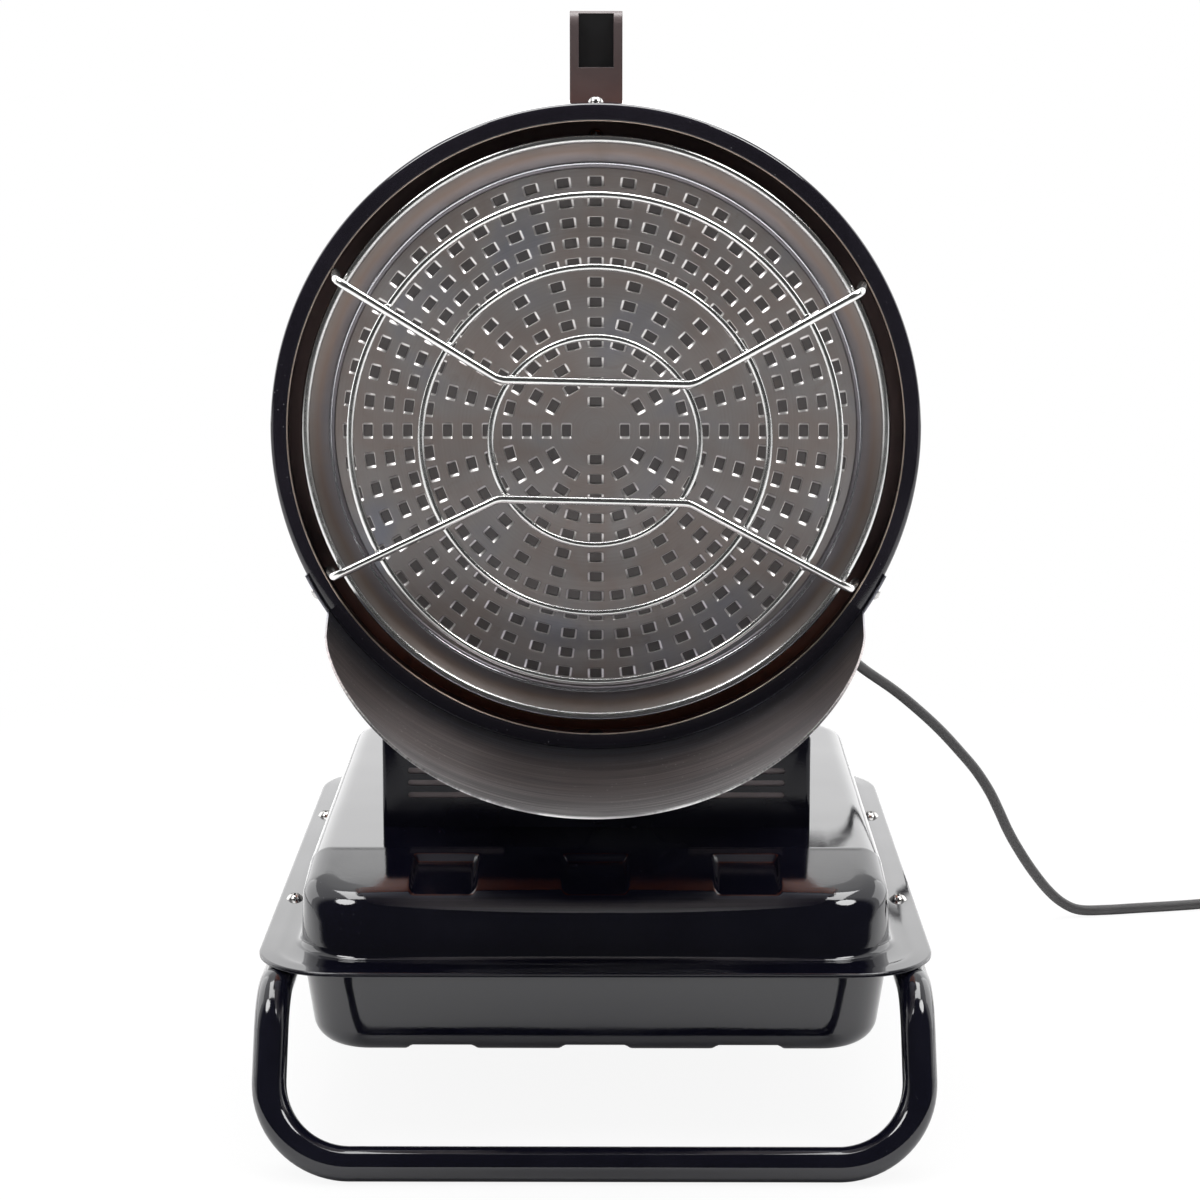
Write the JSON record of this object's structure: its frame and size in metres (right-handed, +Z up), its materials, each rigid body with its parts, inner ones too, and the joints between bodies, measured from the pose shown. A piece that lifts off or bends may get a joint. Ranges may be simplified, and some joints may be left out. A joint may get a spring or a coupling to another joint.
{
  "type": "infrared diesel heater",
  "caption": "Freestanding infrared heater: round tilting burner head with a perforated disc and wire guard, on a flat flanged fuel tank with bent tube feet, a carrying handle and a mains cord.",
  "frame": {"origin": "middle of the footprint of the heater without its cord, on the floor", "axes": "+Z up, -Y the way the burner head faces, +X to the right as seen from the front"},
  "size_m": [0.822, 0.644, 0.656],
  "materials": {
    "gloss_black_paint": "smooth gloss black enamel",
    "satin_black_paint": "satin black enamel",
    "burnt_orange_paint": "gloss burnt orange enamel",
    "zinc_steel": "bright zinc-plated steel",
    "bright_wire": "polished stainless wire",
    "tinted_steel": "heat-tinted stainless steel",
    "shield_steel": "dark stainless steel brushed along its width",
    "matte_black_plastic": "finely grained black plastic",
    "gloss_black_plastic": "smooth black plastic",
    "red_plastic": "smooth red plastic",
    "lamp_plastic": "smooth amber plastic",
    "clear_window": "clear window",
    "rubber_black": "black rubber",
    "cord_rubber": "dark grey rubber sheath",
    "brass": "turned brass",
    "ceramic": "glazed ceramic",
    "board_plastic": "green circuit board",
    "cast_grey": "cast pump body",
    "cast_aluminium": "cast aluminium"
  },
  "bodies": {
    "base": {"tank_upper_shell": "gloss_black_paint", "tank_lower_shell": "gloss_black_paint", "front_frame_tube": "gloss_black_paint", "rear_frame_tube": "gloss_black_paint", "flange_screws": "zinc_steel", "flange_nuts": "zinc_steel", "filler_neck": "gloss_black_paint", "cap_seal": "rubber_black", "gauge_guide": "matte_black_plastic", "gauge_window": "clear_window", "drain_plug": "zinc_steel", "fuel_pickup": "brass", "fuel_line_lower": "rubber_black", "pedestal_housing": "satin_black_paint", "pivot_brackets": "satin_black_paint", "pivot_pins": "zinc_steel", "rest_pad": "rubber_black", "control_panel": "satin_black_paint", "thermostat_body": "matte_black_plastic", "power_lamp": "lamp_plastic", "control_board": "board_plastic", "cord_gland": "matte_black_plastic", "power_cord": "cord_rubber", "cord_coil": "cord_rubber", "plug": "cord_rubber", "plug_pins": "brass"},
    "head": {"drum_casing": "burnt_orange_paint", "front_ring": "gloss_black_paint", "ring_screw": "zinc_steel", "lower_shield": "shield_steel", "shield_screws": "zinc_steel", "reflector": "tinted_steel", "reflector_screws": "zinc_steel", "radiant_disc": "tinted_steel", "combustion_chamber": "tinted_steel", "flame_tube": "tinted_steel", "fuel_nozzle": "brass", "igniter": "ceramic", "guard_rings": "bright_wire", "guard_rods": "bright_wire", "handle": "matte_black_plastic", "handle_screws": "zinc_steel", "rear_housing": "satin_black_paint", "fan_guard": "zinc_steel", "pivot_cheeks": "satin_black_paint", "motor": "satin_black_paint", "motor_mount": "zinc_steel", "pump_body": "cast_grey", "ignition_transformer": "matte_black_plastic", "fuel_line_upper": "rubber_black"},
    "fan": {"drive_shaft": "zinc_steel", "fan_impeller": "cast_aluminium"},
    "fuel_cap_body": {"fuel_cap": "matte_black_plastic"},
    "gauge_float_body": {"gauge_float": "red_plastic"},
    "tilt_knob_left_body": {"tilt_knob_left": "matte_black_plastic"},
    "tilt_knob_right_body": {"tilt_knob_right": "matte_black_plastic"},
    "power_switch_body": {"power_switch": "gloss_black_plastic"},
    "thermostat_knob_body": {"thermostat_knob": "matte_black_plastic"},
    "reset_button_body": {"reset_button": "red_plastic"}
  },
  "joints": [
    {"name": "head_tilt", "type": "hinge", "parent": "base", "child": "head", "pos_m": [0, 0.07, 0.255], "axis": [-1, 0, 0], "range_deg": [0, 20]},
    {"name": "fan_spin", "type": "hinge", "parent": "head", "child": "fan", "pos_m": [0, 0.128, 0.4105], "axis": [0, 1, 0], "continuous": true},
    {"name": "fuel_cap_turn", "type": "hinge", "parent": "base", "child": "fuel_cap_body", "pos_m": [-0.07, 0.17, 0.172], "axis": [0, 0, 1], "range_deg": [0, 180]},
    {"name": "left_knob_turn", "type": "hinge", "parent": "base", "child": "tilt_knob_left_body", "pos_m": [-0.0976, 0.07, 0.255], "axis": [1, 0, 0], "range_deg": [0, 180]},
    {"name": "right_knob_turn", "type": "hinge", "parent": "base", "child": "tilt_knob_right_body", "pos_m": [0.0976, 0.07, 0.255], "axis": [1, 0, 0], "range_deg": [0, 180]},
    {"name": "power_switch_rock", "type": "hinge", "parent": "base", "child": "power_switch_body", "pos_m": [-0.066, 0.138, 0.2015], "axis": [1, 0, 0], "range_deg": [0, 20]},
    {"name": "thermostat_turn", "type": "hinge", "parent": "base", "child": "thermostat_knob_body", "pos_m": [0, 0.145, 0.2015], "axis": [0, 1, 0], "range_deg": [0, 270]},
    {"name": "reset_press", "type": "slide", "parent": "base", "child": "reset_button_body", "axis": [0, -1, 0], "range_m": [0, 0.0025], "stiffness_N_per_m": 300},
    {"name": "float_rise", "type": "slide", "parent": "base", "child": "gauge_float_body", "axis": [0, 0, 1], "range_m": [0, 0.018]}
  ]
}
